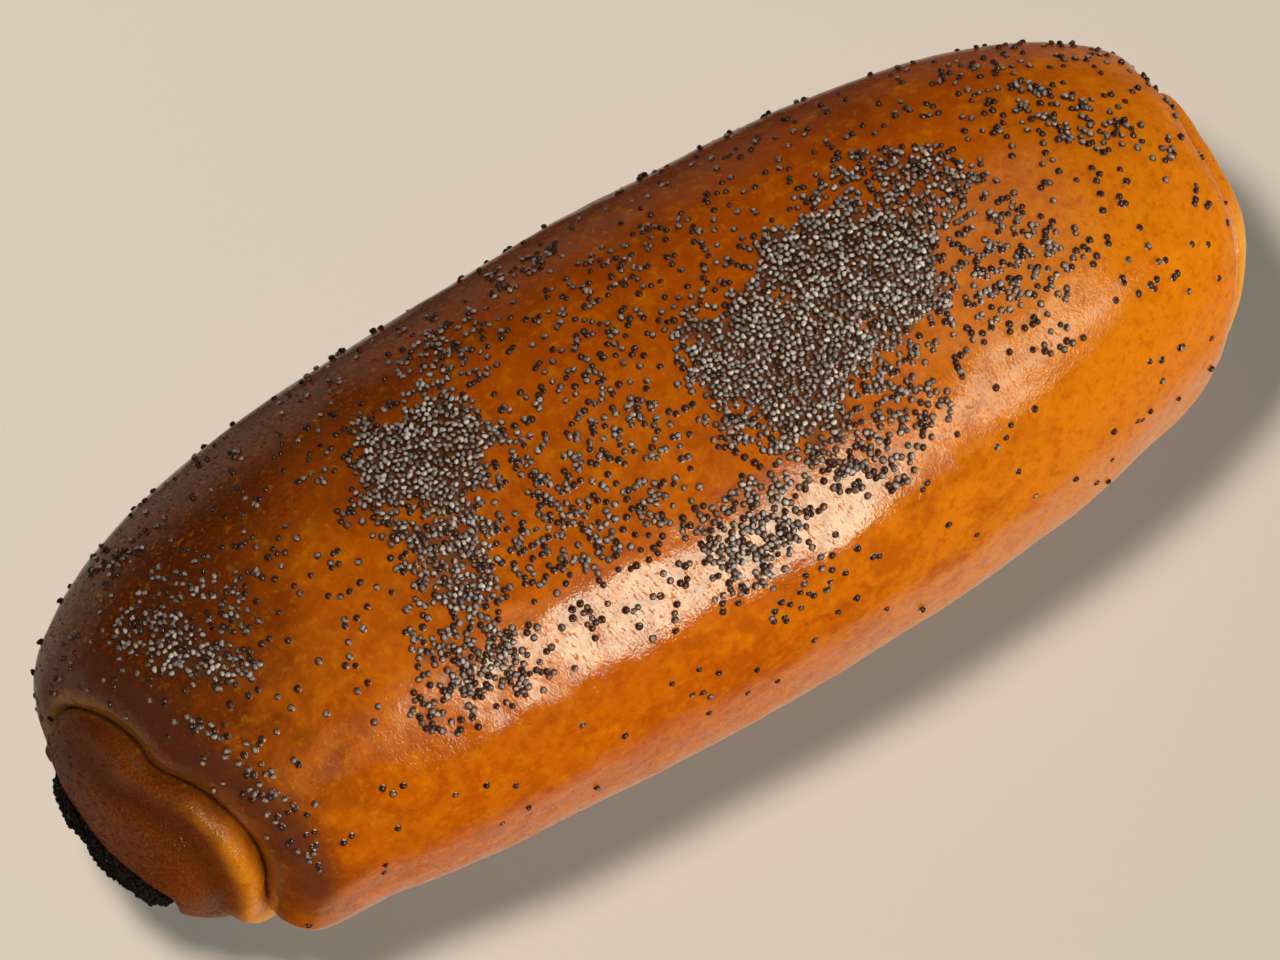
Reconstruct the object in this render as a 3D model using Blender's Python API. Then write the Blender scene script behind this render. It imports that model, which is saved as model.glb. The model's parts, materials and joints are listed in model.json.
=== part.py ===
# Poppy seed roll: a baked loaf of sweet dough rolled round a poppy seed filling.
# The rolled sheet ends in a spiral crease on both ends, the dark filling runs
# right through the loaf and shows there, and whole seeds are baked onto the crust.
# Metres, +Z up. The loaf lies along X on its flat base, with the origin at the
# middle of that base. The fullest look at the spiral is on the -X end.

import math
import random

import bmesh
import bpy
from mathutils import Matrix, Vector, noise
from mathutils.bvhtree import BVHTree

# Driving sizes of the loaf
HALF_LENGTH = 0.114
HALF_WIDTH = 0.0449
HEIGHT = 0.0685
WIDEST_HEIGHT = 0.031        # the loaf is widest a little under half its height
BASE_SINK = 0.0025           # how far the underside is cut off to make the flat base
TOP_POWER = 2.2              # roundness of the section above the widest line
UNDERSIDE_POWER = 3.4        # and below it, squarer
END_POWER = 2.88             # roundness of the ends, seen from above
UNEVENNESS = 0.012           # share by which a hand-rolled loaf swells and narrows
# Each swell: waves along the loaf, waves round it, where it starts, its share
SWELLS = ((5.1, 0, 0.6, 0.5), (9.3, 2, 1.1, 0.35))

# The rolled edge on each end: a spiral crease from the seam to the filling.
# Angles turn about the loaf's axis from +Y towards +Z, in degrees.
CREASE_START = -30.0         # innermost, behind the filling
CREASE_END = 228.0           # outermost, at the seam near the base
CREASE_INNER = {-1: 0.22, 1: 0.20}   # share of the section's size, for each end
CREASE_OUTER = {-1: 0.80, 1: 0.76}
CREASE_WAVE = {-1: 0.11, 1: -0.15}   # bulge or dip of the spiral over the top
WAVE_START = 50.0
WAVE_SPAN = 145.0
CREASE_FADE_IN = 40.0        # degrees over which it opens, behind the filling
CREASE_FADE_OUT = 28.0       # and over which it closes, at the seam
CREASE_DEPTH = 0.0052
LIP_WIDTH = 0.0085           # the outer turn rounds down into the crease over this
RIDGE_WIDTH = 0.0038         # and the inner turn rises out of it over this
LIP_SWELL = 0.0007
SEAM_SWELL = {-1: 0.0024, 1: 0.0004}  # the outer turn bulges most beside the seam
SEAM_SWELL_ANGLE = 193.0
SEAM_SWELL_WIDTH = 26.0
INNER_SWELL = {-1: 0.0016, 1: 0.0008} # the inner turn is pushed out as it bakes
INNER_SWELL_WIDTH = 0.011

# Filling: a thick core with a thin spiral tail that follows the crease
CORE_CENTRE = (-0.0075, 0.0235)      # y, z
CORE_HALF_WIDTH = 0.0150
CORE_HALF_HEIGHT = 0.0105
CORE_POWER = 2.5
CORE_LUMPS = 3               # slow lumps round the core's outline
CORE_LUMP_TURN = 0.8
CORE_LUMPINESS = 0.04
CORE_PROUD = 0.0014          # the baked filling swells out of the ends
CORE_EDGE = 0.95             # share of the core's size at which it starts to sink in
CORE_EDGE_WIDTH = 0.25
TAIL_START = -78.0
TAIL_END = 221.0
TAIL_THICKNESS = 0.0018
TAIL_THINNING = 0.0008       # thinner over the top, where the sheet is pressed
TAIL_RECESS = 0.0008
TAIL_STRAIGHT_SCALE = 0.45   # between the sections of this size it runs straight
FILLING_GRAIN = 0.0007
GRAIN_SIZE = 0.0026
GAP = 0.0003                 # clearance between dough and filling
CORE_OVERHANG = 0.006        # the pieces that are cut to shape start this much too long
TAIL_OVERHANG = 0.005

# Whole poppy seeds on the crust
SEED_LENGTH = 0.0014
SEED_WIDTH = 0.00095
SEED_COUNT = 190
SEED_SPACING = 0.0027
SEED_SINK = 0.0001
SEED_RANDOM = 41
SEED_REACH = 0.9             # share of the half length that has seeds
SEED_LOWEST = 12.0           # degrees above the level of the loaf's axis
BARE_SHARE = 0.07            # chance of a seed away from the sprinkled patches
PATCH_FADE = 1.5             # a patch thins out to nothing at this share of its size
# Sprinkled patches: centre x, y, half sizes along and across, turn in degrees, share
PATCHES = (
    (-0.086, 0.009, 0.013, 0.010, 0, 0.8),
    (-0.081, -0.014, 0.006, 0.016, -15, 0.5),
    (-0.034, 0.010, 0.016, 0.014, 30, 1.0),
    (-0.017, 0.030, 0.010, 0.008, 30, 0.5),
    (-0.043, -0.016, 0.008, 0.018, -20, 0.7),
    (0.034, -0.003, 0.028, 0.024, 30, 1.0),
    (0.064, -0.012, 0.014, 0.014, 0, 0.5),
    (0.094, 0.006, 0.011, 0.009, -30, 0.7),
    (0.014, -0.032, 0.020, 0.010, 10, 0.6),
    (-0.010, -0.006, 0.022, 0.016, 0, 0.35),
)

# Mesh fineness
COLUMNS = 48
BARREL_HALF = 0.060
BARREL_RINGS = 11
# Rings of an end, as shares of the way: pole to crease, then crease to barrel
INNER_STEPS = (0.0, 0.2, 0.4, 0.58, 0.74, 0.87, 0.95, 1.0)
OUTER_STEPS = (0.05, 0.12, 0.22, 0.36, 0.56, 0.78, 1.0)
FILLING_RINGS = 10           # on the ends of the filling, pole to crease
TAIL_SEGMENTS = 30
CORE_SEGMENTS = 28
SHARP_ANGLE = 40.0           # edges sharper than this aren't shaded smooth

CRUST_COLOUR = (0.50, 0.15, 0.012)
PASTE_COLOUR = (0.012, 0.009, 0.007)


def outline(angle):
    """The full section at an angle, as (y, z) from the widest height."""
    cosine, sine = math.cos(angle), math.sin(angle)
    power = TOP_POWER if sine >= 0 else UNDERSIDE_POWER
    reach = HEIGHT - WIDEST_HEIGHT if sine >= 0 else WIDEST_HEIGHT + BASE_SINK
    y = HALF_WIDTH * math.copysign(abs(cosine) ** (2 / power), cosine)
    z = reach * math.copysign(abs(sine) ** (2 / power), sine)
    return y, z


def swell(x, angle):
    """Slow swells and hollows of a loaf rolled by hand, as a factor near 1."""
    along = x / HALF_LENGTH
    wave = sum(
        share * math.sin(lengthwise * along + around * angle + start)
        for lengthwise, around, start, share in SWELLS
    )
    return 1 + UNEVENNESS * wave * (1 - along * along)


def scale_at(x):
    """How large the section is at x, from 1 in the middle to 0 at the tips."""
    share = min(abs(x) / HALF_LENGTH, 1.0)
    return (1 - share**END_POWER) ** (1 / END_POWER)


def reach_at(scale):
    """How far from the middle the section has a given size."""
    return HALF_LENGTH * (1 - min(scale, 1.0) ** END_POWER) ** (1 / END_POWER)


def skin_point(x, scale, angle):
    y, z = outline(angle)
    grown = scale * swell(x, angle)
    return Vector((x, y * grown, max(WIDEST_HEIGHT + z * grown, 0.0)))


def skin_normal(x, scale, angle):
    """Outward direction of the smooth loaf, before creases."""
    y, z = outline(angle)
    y, z = y * scale, z * scale
    power = TOP_POWER if z >= 0 else UNDERSIDE_POWER
    reach = HEIGHT - WIDEST_HEIGHT if z >= 0 else WIDEST_HEIGHT + BASE_SINK
    size = max(scale, 1e-4)
    lean = size ** (END_POWER - power)
    slope_x = math.copysign(abs(x / HALF_LENGTH) ** (END_POWER - 1) / HALF_LENGTH, x)
    slope_y = lean * math.copysign(abs(y / HALF_WIDTH) ** (power - 1) / HALF_WIDTH, y)
    slope_z = lean * math.copysign(abs(z / reach) ** (power - 1) / reach, z)
    return Vector((slope_x, slope_y, slope_z)).normalized()


def crease_scale(angle_deg, side):
    """Where the crease lies on an end, as a share of the full section."""
    inner, outer = CREASE_INNER[side], CREASE_OUTER[side]
    turn = (angle_deg - CREASE_START) % 360
    span = CREASE_END - CREASE_START
    if turn > span:
        back = (turn - span) / (360 - span)
        return outer + (inner - outer) * 0.5 * (1 - math.cos(math.pi * back))
    over_top = math.sin(math.pi * min(max((angle_deg % 360 - WAVE_START) / WAVE_SPAN, 0), 1))
    return inner + (outer - inner) * turn / span + CREASE_WAVE[side] * over_top


def crease_strength(angle_deg):
    """1 along the open crease, fading to 0 at the seam and behind the filling."""
    turn = (angle_deg - CREASE_START) % 360
    span = CREASE_END - CREASE_START
    if turn > span:
        return 0.0
    fade = min(turn / CREASE_FADE_IN, (span - turn) / CREASE_FADE_OUT, 1.0)
    return math.sin(0.5 * math.pi * fade)


def crease_relief(distance, angle_deg, side, depth):
    """Height above the smooth loaf at a distance outside (+) or inside (-) the crease."""
    strength = crease_strength(angle_deg)
    width = LIP_WIDTH if distance >= 0 else RIDGE_WIDTH
    near = 1 - min(abs(distance) / width, 1.0)
    drop = depth * (1 - math.sqrt(1 - near * near))
    beside_seam = (angle_deg % 360 - SEAM_SWELL_ANGLE) / SEAM_SWELL_WIDTH
    swollen = LIP_SWELL + SEAM_SWELL[side] * math.exp(-(beside_seam**2))
    lip = swollen * math.exp(-(((distance - LIP_WIDTH) / LIP_WIDTH) ** 2))
    inside = max(-distance, 0) / INNER_SWELL_WIDTH
    return strength * (lip - drop) + INNER_SWELL[side] * (1 - math.exp(-inside * inside))


def end_rings(side, inner_steps, outer_steps):
    """Sizes of the rings of an end, from its tip outwards, for each column's angle."""
    limit = scale_at(BARREL_HALF)
    for step in inner_steps:
        yield lambda angle_deg, step=step: crease_scale(angle_deg, side) * step
    for step in outer_steps:
        yield lambda angle_deg, step=step: (
            crease_scale(angle_deg, side) * (1 - step) + limit * step
        )


def end_points(side, columns, inner_steps, outer_steps, depth, proud):
    """Rings of points on one end, from the tip to the barrel."""
    crease_ring = len(inner_steps) - 1
    rings = list(end_rings(side, inner_steps, outer_steps))
    points = [[None] * columns for _ in rings]
    for column in range(columns):
        angle_deg = 360 * column / columns + CREASE_START
        angle = math.radians(angle_deg)
        base, normals = [], []
        for ring in rings:
            scale = ring(angle_deg)
            x = side * reach_at(scale)
            base.append(skin_point(x, scale, angle))
            normals.append(skin_normal(x, scale, angle))
        travelled = [0.0]
        for first, second in zip(base, base[1:]):
            travelled.append(travelled[-1] + (second - first).length)
        for index, (point, normal) in enumerate(zip(base, normals)):
            distance = travelled[index] - travelled[crease_ring]
            lift = crease_relief(distance, angle_deg, side, depth)
            lift += proud(point) if proud else 0.0
            moved = point + normal * lift
            moved.z = max(moved.z, 0.0)
            points[index][column] = moved
    return points


def loaf_mesh(name, columns, inner_steps, outer_steps, depth, proud=None):
    """One closed skin: the two ends and the barrel between them."""
    left = end_points(-1, columns, inner_steps, outer_steps, depth, proud)
    right = end_points(1, columns, inner_steps, outer_steps, depth, proud)
    barrel = []
    for ring in range(1, BARREL_RINGS):
        x = -BARREL_HALF + 2 * BARREL_HALF * ring / BARREL_RINGS
        angles = [math.radians(360 * c / columns + CREASE_START) for c in range(columns)]
        barrel.append([skin_point(x, scale_at(x), angle) for angle in angles])
    rings = left[1:] + barrel + right[:0:-1]
    mesh = bmesh.new()
    rows = [[mesh.verts.new(point) for point in ring] for ring in rings]
    for row, after in zip(rows, rows[1:]):
        for column in range(columns):
            beside = (column + 1) % columns
            mesh.faces.new((row[column], row[beside], after[beside], after[column]))
    for row, tip in ((rows[0], left[0][0]), (rows[-1], right[0][0])):
        pole = mesh.verts.new(tip)
        for column in range(columns):
            mesh.faces.new((pole, row[column], row[(column + 1) % columns]))
    bmesh.ops.recalc_face_normals(mesh, faces=mesh.faces)
    return finish_mesh(name, mesh)


def finish_mesh(name, mesh):
    """A smooth-shaded object from a closed bmesh."""
    bmesh.ops.triangulate(mesh, faces=mesh.faces)
    data = bpy.data.meshes.new(name)
    mesh.to_mesh(data)
    mesh.free()
    data.shade_smooth()
    made = bpy.data.objects.new(name, data)
    bpy.context.scene.collection.objects.link(made)
    return made


def stacked_prism(name, sections):
    """A closed solid through a row of equal-length outlines along X."""
    mesh = bmesh.new()
    rows = [[mesh.verts.new(point) for point in section] for section in sections]
    count = len(rows[0])
    for row, after in zip(rows, rows[1:]):
        for index in range(count):
            beside = (index + 1) % count
            mesh.faces.new((row[index], row[beside], after[beside], after[index]))
    mesh.faces.new(rows[0])
    mesh.faces.new(rows[-1])
    bmesh.ops.recalc_face_normals(mesh, faces=mesh.faces)
    return finish_mesh(name, mesh)


def core_outline(x, grow):
    """Section of the filling's core, a rounded lump, grown by a clearance."""
    points = []
    for index in range(CORE_SEGMENTS):
        angle = 2 * math.pi * index / CORE_SEGMENTS
        cosine, sine = math.cos(angle), math.sin(angle)
        width, height = CORE_HALF_WIDTH + grow, CORE_HALF_HEIGHT + grow
        uneven = 1 + CORE_LUMPINESS * math.sin(CORE_LUMPS * angle + CORE_LUMP_TURN)
        y = width * uneven * math.copysign(abs(cosine) ** (2 / CORE_POWER), cosine)
        z = height * uneven * math.copysign(abs(sine) ** (2 / CORE_POWER), sine)
        points.append((x, CORE_CENTRE[0] + y, CORE_CENTRE[1] + z))
    return points


def crease_place(angle_deg, side):
    """Where the crease crosses the section at an angle, as (y, z)."""
    y, z = outline(math.radians(angle_deg))
    scale = crease_scale(angle_deg, side)
    if angle_deg < CREASE_START:
        outward = (CREASE_OUTER[side] - CREASE_INNER[side]) / (CREASE_END - CREASE_START)
        scale = CREASE_INNER[side] + outward * (angle_deg - CREASE_START)
    return Vector((y * scale, WIDEST_HEIGHT + z * scale))


def tail_outline(x, side, grow):
    """Section of the thin spiral tail beside one end, grown by a clearance."""
    inner, outer = [], []
    past = math.degrees(grow / (0.5 * HALF_WIDTH))
    for index in range(TAIL_SEGMENTS + 1):
        angle_deg = TAIL_START + (TAIL_END + past - TAIL_START) * index / TAIL_SEGMENTS
        here = crease_place(angle_deg, side)
        ahead = crease_place(angle_deg + 1, side) - crease_place(angle_deg - 1, side)
        across = Vector((ahead.y, -ahead.x)).normalized()
        pressed = TAIL_THINNING * max(math.sin(math.radians(angle_deg)), 0)
        half = 0.5 * (TAIL_THICKNESS - pressed) + grow
        near, far = here - across * half, here + across * half
        inner.append((x, near.x, near.y))
        outer.append((x, far.x, far.y))
    return inner + outer[::-1]


def filling_core(name, reach, grow):
    return stacked_prism(name, [core_outline(x, grow) for x in (-reach, 0, reach)])


def filling_tail(name, reach, grow):
    left = tail_outline(-reach, -1, grow)
    right = tail_outline(reach, 1, grow)
    turned = reach_at(TAIL_STRAIGHT_SCALE)
    near_left = [(-turned, y, z) for _, y, z in left]
    near_right = [(turned, y, z) for _, y, z in right]
    return stacked_prism(name, [left, near_left, near_right, right])


def filling_proud(point):
    """How far the filling's ends stand out of the loaf's smooth skin, or sink in."""
    across = abs(point.y - CORE_CENTRE[0]) / CORE_HALF_WIDTH
    up = abs(point.z - CORE_CENTRE[1]) / CORE_HALF_HEIGHT
    away = (across**CORE_POWER + up**CORE_POWER) ** (1 / CORE_POWER)
    share = min(max((away - CORE_EDGE) / CORE_EDGE_WIDTH, 0), 1)
    from_tip = math.hypot(point.y, point.z - WIDEST_HEIGHT) / CORE_HALF_HEIGHT
    grain = FILLING_GRAIN * noise.noise(point / GRAIN_SIZE) * min(from_tip, 1)
    return (CORE_PROUD + grain) * (1 - share) - TAIL_RECESS * share


def material(name, colour, roughness, coat=0.0):
    made = bpy.data.materials.new(name)
    made.use_nodes = True
    shader = made.node_tree.nodes["Principled BSDF"]
    shader.inputs["Base Color"].default_value = (*colour, 1)
    shader.inputs["Roughness"].default_value = roughness
    shader.inputs["Metallic"].default_value = 0.0
    shader.inputs["Coat Weight"].default_value = coat
    return made


def apply_boolean(target, operation, other=None, collection=None):
    """Applies one Boolean to the target and removes what it used."""
    step = target.modifiers.new(operation.lower(), "BOOLEAN")
    step.operation = operation
    step.solver = "EXACT"
    if collection:
        step.operand_type = "COLLECTION"
        step.collection = collection
    else:
        step.object = other
    graph = bpy.context.evaluated_depsgraph_get()
    data = bpy.data.meshes.new_from_object(target.evaluated_get(graph))
    target.modifiers.clear()
    target.data = data
    used = list(collection.objects) if collection else [other]
    for helper in used:
        bpy.data.objects.remove(helper)
    if collection:
        bpy.data.collections.remove(collection)


def sprinkle_share(x, y):
    """Chance of a seed at a place seen from above."""
    share = BARE_SHARE
    for centre_x, centre_y, half_x, half_y, turn, most in PATCHES:
        cosine, sine = math.cos(math.radians(turn)), math.sin(math.radians(turn))
        along = (x - centre_x) * cosine + (y - centre_y) * sine
        across = (y - centre_y) * cosine - (x - centre_x) * sine
        away = math.hypot(along / half_x, across / half_y)
        share = max(share, most * min(max(PATCH_FADE - away, 0), 1))
    return share


def seed_places(target):
    """Spots and outward directions for the seeds, spread by a seeded rule."""
    draw = random.Random(SEED_RANDOM)
    tree = BVHTree.FromObject(target, bpy.context.evaluated_depsgraph_get())
    places = []
    while len(places) < SEED_COUNT:
        x = draw.uniform(-SEED_REACH, SEED_REACH) * HALF_LENGTH
        angle = math.radians(draw.uniform(SEED_LOWEST, 180 - SEED_LOWEST))
        aim = Vector((0, math.cos(angle), math.sin(angle)))
        start = Vector((x, 0, WIDEST_HEIGHT)) + aim * HALF_LENGTH
        spot, normal, _, _ = tree.ray_cast(start, -aim)
        keep = draw.random()
        if spot is None or keep > sprinkle_share(spot.x, spot.y):
            continue
        if all((spot - other).length > SEED_SPACING for other, _, _ in places):
            places.append((spot, normal, draw.uniform(0, 2 * math.pi)))
    return places


def make_seeds(target):
    """A collection of seeds half sunk in the crust."""
    collection = bpy.data.collections.new("seeds")
    bpy.context.scene.collection.children.link(collection)
    shape = bmesh.new()
    bmesh.ops.create_icosphere(shape, subdivisions=1, radius=0.5)
    size = Vector((SEED_LENGTH, SEED_WIDTH, SEED_WIDTH))
    bmesh.ops.scale(shape, vec=size, verts=shape.verts)
    data = bpy.data.meshes.new("seed")
    shape.to_mesh(data)
    shape.free()
    for index, (spot, normal, turn) in enumerate(seed_places(target)):
        stand = normal.to_track_quat("Z", "X").to_matrix().to_4x4()
        seed = bpy.data.objects.new(f"seed_{index}", data)
        place = Matrix.Translation(spot - normal * SEED_SINK)
        seed.matrix_world = place @ stand @ Matrix.Rotation(turn, 4, "Z")
        collection.objects.link(seed)
    return collection


def make_dough():
    """The rolled loaf, open where the filling runs through, with its seeds."""
    dough = loaf_mesh("dough", COLUMNS, INNER_STEPS, OUTER_STEPS, CREASE_DEPTH)
    seeds = make_seeds(dough)
    core = filling_core("core_cut", HALF_LENGTH + CORE_OVERHANG, GAP)
    apply_boolean(dough, "DIFFERENCE", core)
    tail = filling_tail("tail_cut", HALF_LENGTH + TAIL_OVERHANG, GAP)
    apply_boolean(dough, "DIFFERENCE", tail)
    bpy.context.view_layer.update()
    apply_boolean(dough, "UNION", collection=seeds)
    dough.data.shade_smooth()
    dough.data.set_sharp_from_angle(angle=math.radians(SHARP_ANGLE))
    dough.data.materials.clear()
    dough.data.materials.append(material("baked_crust", CRUST_COLOUR, 0.28, 0.6))
    return dough


def make_filling():
    """The poppy filling: core and tail, ending near the loaf's own surface."""
    filling = filling_core("poppy_filling", HALF_LENGTH + CORE_OVERHANG, 0.0)
    tail = filling_tail("tail", HALF_LENGTH + TAIL_OVERHANG, 0.0)
    apply_boolean(filling, "UNION", tail)
    steps = [index / FILLING_RINGS for index in range(FILLING_RINGS + 1)]
    limit = loaf_mesh("limit", COLUMNS, steps, OUTER_STEPS, CREASE_DEPTH, filling_proud)
    apply_boolean(filling, "INTERSECT", limit)
    filling.data.shade_smooth()
    filling.data.set_sharp_from_angle(angle=math.radians(SHARP_ANGLE))
    filling.data.materials.clear()
    filling.data.materials.append(material("poppy_paste", PASTE_COLOUR, 0.7))
    return filling


for old in list(bpy.data.objects):
    bpy.data.objects.remove(old)
make_dough()
make_filling()
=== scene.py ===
# Poppy seed roll: the baked crust, the filling and the loose seeds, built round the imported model.
import json
import math
from functools import partial

import bmesh
import bpy
import numpy as np
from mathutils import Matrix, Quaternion, Vector, noise

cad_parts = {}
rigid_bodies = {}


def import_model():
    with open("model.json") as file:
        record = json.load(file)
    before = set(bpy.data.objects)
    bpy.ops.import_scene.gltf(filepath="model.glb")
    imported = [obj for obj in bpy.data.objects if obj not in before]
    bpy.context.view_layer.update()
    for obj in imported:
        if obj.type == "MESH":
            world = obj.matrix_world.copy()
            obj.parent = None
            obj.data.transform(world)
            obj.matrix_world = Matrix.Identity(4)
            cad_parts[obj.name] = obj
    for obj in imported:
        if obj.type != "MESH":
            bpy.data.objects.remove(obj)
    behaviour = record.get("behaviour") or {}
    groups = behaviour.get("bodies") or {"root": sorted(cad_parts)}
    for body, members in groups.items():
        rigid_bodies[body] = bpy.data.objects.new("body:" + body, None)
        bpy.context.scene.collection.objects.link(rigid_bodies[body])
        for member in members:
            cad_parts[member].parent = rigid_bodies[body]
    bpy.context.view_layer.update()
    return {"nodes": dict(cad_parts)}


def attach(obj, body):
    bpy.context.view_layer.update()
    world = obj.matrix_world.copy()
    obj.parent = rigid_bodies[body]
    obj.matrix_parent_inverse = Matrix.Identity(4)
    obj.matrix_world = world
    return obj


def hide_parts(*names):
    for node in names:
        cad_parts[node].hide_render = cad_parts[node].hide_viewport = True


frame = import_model()
print("frame loaded:", sorted(frame["nodes"]))

# The loaf's own shape, as it was built: metres, degrees, shares of the section's size
loaf = {
    "halfLength": 0.114,
    "halfWidth": 0.0449,
    "height": 0.0685,
    "widestHeight": 0.031,
    "baseSink": 0.0025,
    "topPower": 2.2,
    "undersidePower": 3.4,
    "endPower": 2.88,
    "unevenness": 0.012,
    # waves along the loaf, waves round it, where it starts, its share
    "swells": ((5.1, 0, 0.6, 0.5), (9.3, 2, 1.1, 0.35)),
}
# The crease where an end is folded in: -1 is the left end, 1 the right one
crease = {
    "start": -30.0,
    "end": 228.0,
    "inner": {-1: 0.22, 1: 0.20},
    "outer": {-1: 0.80, 1: 0.76},
    "wave": {-1: 0.11, 1: -0.15},
    "waveStart": 50.0,
    "waveSpan": 145.0,
    "fadeIn": 40.0,
    "fadeOut": 28.0,
    "depth": 0.0052,
    "lipWidth": 0.0085,
    "ridgeWidth": 0.0038,
    "lipSwell": 0.0007,
    "seamSwell": {-1: 0.0024, 1: 0.0004},
    "seamSwellAngle": 193.0,
    "seamSwellWidth": 26.0,
    "innerSwell": {-1: 0.0016, 1: 0.0009},
    "innerSwellWidth": 0.011,
    # the inner turn's ridge beside the crease and the hollow behind it: height, how far in, half width
    "innerRidge": {-1: (0.0007, 0.0030, 0.0020), 1: (0.0, 0.0030, 0.0022)},
    "innerHollow": {-1: (0.0009, 0.0080, 0.0032), 1: (0.0, 0.0080, 0.0032)},
    "ridgeFrom": (62.0, 125.0),  # angles over which the ridge and the hollow begin
    # slight bends of the crease: at an angle, over a width, by a share
    "bends": {-1: ((106, 9, -0.030), (142, 25, 0.014), (33, 12, -0.085)), 1: ((100, 14, 0.02),)},
    # places where the fold is shallower: at an angle, over a width, by a share
    "shallow": {-1: ((66, 20, 0.45), (108, 8, 0.25)), 1: ((75, 25, 0.3),)},
}
# The filling's core, which runs from end to end
core = {
    "centre": (-0.0075, 0.0235),  # y, z
    "halfWidth": 0.0150,
    "halfHeight": 0.0105,
    "power": 2.5,
    "lumps": 3,
    "lumpTurn": 0.8,
    "lumpiness": 0.04,
    "proud": {-1: 0.0021, 1: -0.0016},  # how far it stands out of each end
    "gap": 0.0003,
}


def signedPower(value, power):
    return np.sign(value) * np.abs(value) ** power


def bell(value, middle, width):
    # 1 at the middle, falling away smoothly on both sides
    return np.exp(-(((value - middle) / width) ** 2))


def outlineOf(above):
    # the section's power and its reach, above or below the widest height
    power = np.where(above, loaf["topPower"], loaf["undersidePower"])
    rise = loaf["height"] - loaf["widestHeight"]
    return power, np.where(above, rise, loaf["widestHeight"] + loaf["baseSink"])


def sectionAt(angle):
    # the full section at an angle, as y and z from the widest height
    cosine, sine = np.cos(angle), np.sin(angle)
    power, reach = outlineOf(sine >= 0)
    return loaf["halfWidth"] * signedPower(cosine, 2 / power), reach * signedPower(sine, 2 / power)


def sizeAt(x):
    # how large the section is at x, from 1 in the middle to 0 at the tips
    share = np.minimum(np.abs(x) / loaf["halfLength"], 1.0)
    return (1 - share ** loaf["endPower"]) ** (1 / loaf["endPower"])


def reachAt(size):
    # how far from the middle the section has a given size
    power = loaf["endPower"]
    return loaf["halfLength"] * (1 - np.clip(size, 0, 1) ** power) ** (1 / power)


def skinPoint(x, size, angle):
    y, z = sectionAt(angle)
    along = x / loaf["halfLength"]
    wave = 0.0
    for lengthwise, around, start, share in loaf["swells"]:
        wave = wave + share * np.sin(lengthwise * along + around * angle + start)
    grown = size * (1 + loaf["unevenness"] * wave * (1 - along * along))
    height = np.maximum(loaf["widestHeight"] + z * grown, 0.0)
    return np.stack(np.broadcast_arrays(x, y * grown, height), axis=-1)


def skinNormal(x, size, angle):
    # outward direction of the smooth loaf
    y, z = sectionAt(angle)
    y, z = y * size, z * size
    power, reach = outlineOf(z >= 0)
    lean = np.maximum(size, 1e-4) ** (loaf["endPower"] - power)
    half, wide, long = loaf["halfLength"], loaf["halfWidth"], loaf["endPower"] - 1
    slopeX = signedPower(x / half, long) / half
    slopeY = lean * signedPower(y / wide, power - 1) / wide
    slopeZ = lean * signedPower(z / reach, power - 1) / reach
    normal = np.stack(np.broadcast_arrays(slopeX, slopeY, slopeZ), axis=-1)
    return normal / np.linalg.norm(normal, axis=-1, keepdims=True)


def endPoint(side, size, angle):
    # a point of an end, and its outward direction
    x = side * reachAt(size)
    return skinPoint(x, size, angle), skinNormal(x, size, angle)


def sizeThrough(y, z):
    # the size of the section whose outline passes through a point of an end
    up = z - loaf["widestHeight"]
    power, reach = outlineOf(up >= 0)
    inside = (np.abs(y) / loaf["halfWidth"]) ** power + (np.abs(up) / reach) ** power
    return inside ** (1 / power)


def creaseTurn(degrees):
    # how far round the crease an angle is, and how far round it goes
    return (degrees - crease["start"]) % 360, crease["end"] - crease["start"]


def creaseSize(degrees, side):
    # where the crease lies on an end, as a share of the full section
    inner, outer = crease["inner"][side], crease["outer"][side]
    turn, span = creaseTurn(degrees)
    back = (turn - span) / (360 - span)
    behind = outer + (inner - outer) * 0.5 * (1 - np.cos(math.pi * back))
    top = np.clip((degrees % 360 - crease["waveStart"]) / crease["waveSpan"], 0, 1)
    front = inner + (outer - inner) * turn / span + crease["wave"][side] * np.sin(math.pi * top)
    for middle, width, amount in crease["bends"][side]:
        front = front + amount * bell(degrees % 360, middle, width)
    return np.where(turn > span, behind, front)


def creaseStrength(degrees, side):
    # 1 along the open crease, fading out at the seam and behind the filling
    turn, span = creaseTurn(degrees)
    fade = np.minimum(turn / crease["fadeIn"], (span - turn) / crease["fadeOut"])
    strength = np.sin(0.5 * math.pi * np.clip(fade, 0, 1))
    for middle, width, amount in crease["shallow"][side]:
        strength = strength * (1 - amount * bell(degrees % 360, middle, width))
    return strength


def creaseRelief(distance, degrees, side):
    # height above the smooth loaf outside (+) or inside (-) the crease
    width = np.where(distance >= 0, crease["lipWidth"], crease["ridgeWidth"])
    near = 1 - np.minimum(np.abs(distance) / width, 1.0)
    drop = crease["depth"] * (1 - np.sqrt(1 - near * near))
    besideSeam = bell(degrees % 360, crease["seamSwellAngle"], crease["seamSwellWidth"])
    swollen = crease["lipSwell"] + crease["seamSwell"][side] * besideSeam
    lip = swollen * bell(distance, crease["lipWidth"], crease["lipWidth"])
    rise = crease["innerSwell"][side] * (1 - bell(np.maximum(-distance, 0), 0, crease["innerSwellWidth"]))
    high, ridgeIn, ridgeHalf = crease["innerRidge"][side]
    deep, hollowIn, hollowHalf = crease["innerHollow"][side]
    below = high * bell(distance, -ridgeIn, ridgeHalf) - deep * bell(distance, -hollowIn, hollowHalf)
    begun = smoothStep(degrees % 360, *crease["ridgeFrom"])
    return creaseStrength(degrees, side) * (lip - drop + begun * below) + rise


def lumpyAt(turn):
    # how far the core's outline bulges, as a share
    return 1 + core["lumpiness"] * np.sin(core["lumps"] * turn + core["lumpTurn"])


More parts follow.
